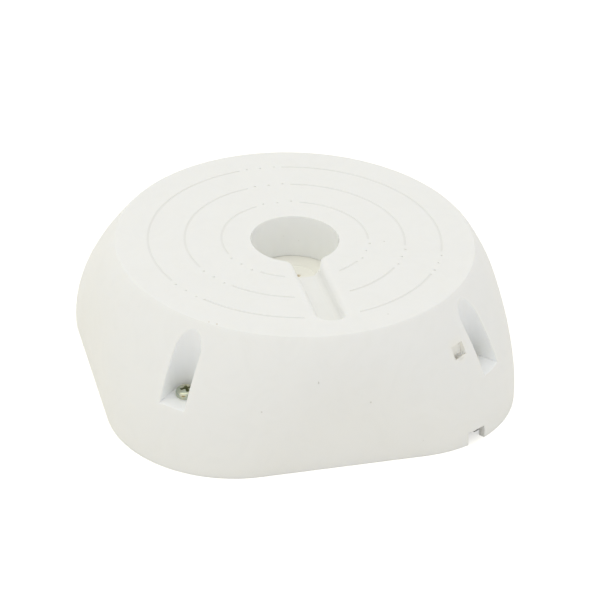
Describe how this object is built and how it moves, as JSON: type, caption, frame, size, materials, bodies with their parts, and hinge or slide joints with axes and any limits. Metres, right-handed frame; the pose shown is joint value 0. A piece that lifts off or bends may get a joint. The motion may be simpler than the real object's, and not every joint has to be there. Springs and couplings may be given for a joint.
{
  "type": "camera mounting box",
  "caption": "Low round-topped mounting box for a ceiling or wall camera: a moulded cover with a cable hole and channel, screwed over a base plate.",
  "frame": {"origin": "centre of the foot, on the wall or surface that the box stands on", "axes": "+Z out of the wall through the round top, -Y along the cable channel, +X to the right seen from the channel's side"},
  "size_m": [0.1704, 0.1704, 0.0546],
  "materials": {
    "cover_plastic": "satin white moulding with a faint sheen",
    "plate_plastic": "plain white moulding",
    "brass": "turned",
    "plated_steel": "nickel plated",
    "soft_cream": "soft cream moulding"
  },
  "bodies": {
    "root": {"cover": "cover_plastic", "base_plate": "plate_plastic", "threaded_inserts": "brass", "cover_screws": "plated_steel", "cable_grommet": "soft_cream"}
  },
  "joints": []
}
